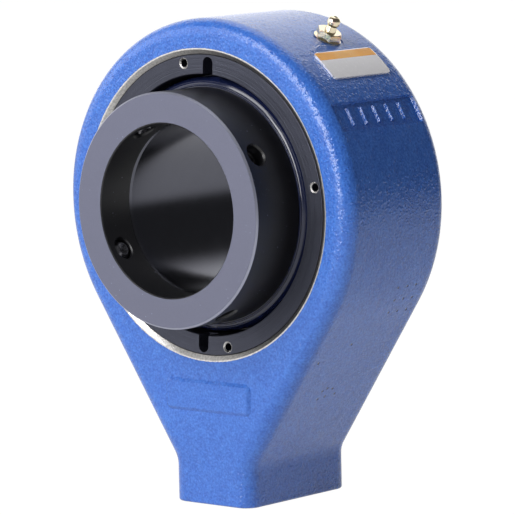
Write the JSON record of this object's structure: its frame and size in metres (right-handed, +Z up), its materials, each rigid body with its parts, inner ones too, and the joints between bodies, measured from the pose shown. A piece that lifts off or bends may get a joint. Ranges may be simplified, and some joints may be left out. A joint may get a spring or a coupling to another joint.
{
  "type": "hanger bearing",
  "caption": "Teardrop cast housing on a short foot with a double-row spherical roller bearing, threaded cover, rubber seals, locking collar and grease nipple.",
  "frame": {"origin": "centre of the foot's base, at the mouth of the hanger's tapped hole", "axes": "+Z up from the base, Y along the shaft with the collar facing -Y, +X to the nameplate's side"},
  "size_m": [0.1604, 0.0955, 0.2106],
  "materials": {
    "housing_paint": "rough cast surface under glossy blue paint",
    "cover_steel": "dark grey satin, turned",
    "collar_steel": "dark satin face, near-black outside",
    "ring_steel": "ground and polished",
    "roller_steel": "polished",
    "cage_steel": "pressed, satin",
    "screw_steel": "black oxide",
    "seal_rubber": "smooth, glossy navy",
    "nipple_plating": "yellow zinc plating",
    "plate_metal": "satin with a painted band"
  },
  "bodies": {
    "housing_unit": {"housing": "housing_paint", "outer_ring": "ring_steel", "threaded_cover": "cover_steel", "grease_nipple": "nipple_plating", "nipple_spring": "cage_steel", "nameplate": "plate_metal"},
    "tilting_ring": {"guide_ring": "cage_steel"},
    "shaft_unit": {"inner_ring": "ring_steel", "front_seal": "seal_rubber", "rear_seal": "seal_rubber"},
    "collar_unit": {"locking_collar": "collar_steel", "set_screw_1": "screw_steel", "set_screw_2": "screw_steel", "set_screw_3": "screw_steel", "set_screw_4": "screw_steel"},
    "roller_unit": {"front_rollers": "roller_steel", "rear_rollers": "roller_steel", "front_cage": "cage_steel", "rear_cage": "cage_steel"},
    "check_ball": {"nipple_ball": "roller_steel"}
  },
  "joints": [
    {"name": "misalignment", "type": "hinge", "parent": "housing_unit", "child": "tilting_ring", "pos_m": [0, 0.005, 0.1304], "axis": [1, 0, 0], "range_deg": [-1.5, 1.5]},
    {"name": "shaft_turn", "type": "hinge", "parent": "tilting_ring", "child": "shaft_unit", "pos_m": [0, 0.005, 0.1304], "axis": [0, 1, 0], "continuous": true},
    {"name": "roller_turn", "type": "hinge", "parent": "tilting_ring", "child": "roller_unit", "pos_m": [0, 0.005, 0.1304], "axis": [0, 1, 0], "continuous": true},
    {"name": "collar_lock", "type": "hinge", "parent": "shaft_unit", "child": "collar_unit", "pos_m": [0, -0.04, 0.1304], "axis": [0, 1, 0], "range_deg": [-15, 15]},
    {"name": "check_valve", "type": "slide", "parent": "housing_unit", "child": "check_ball", "axis": [-0.4787, 0, -0.878], "range_m": [0, 0.0008], "stiffness_N_per_m": 300, "springref_m": -0.001, "deforming": ["nipple_spring"]}
  ],
  "couplings": [
    {"joint": "roller_turn", "follows": "shaft_turn", "ratio": 0.4374}
  ]
}
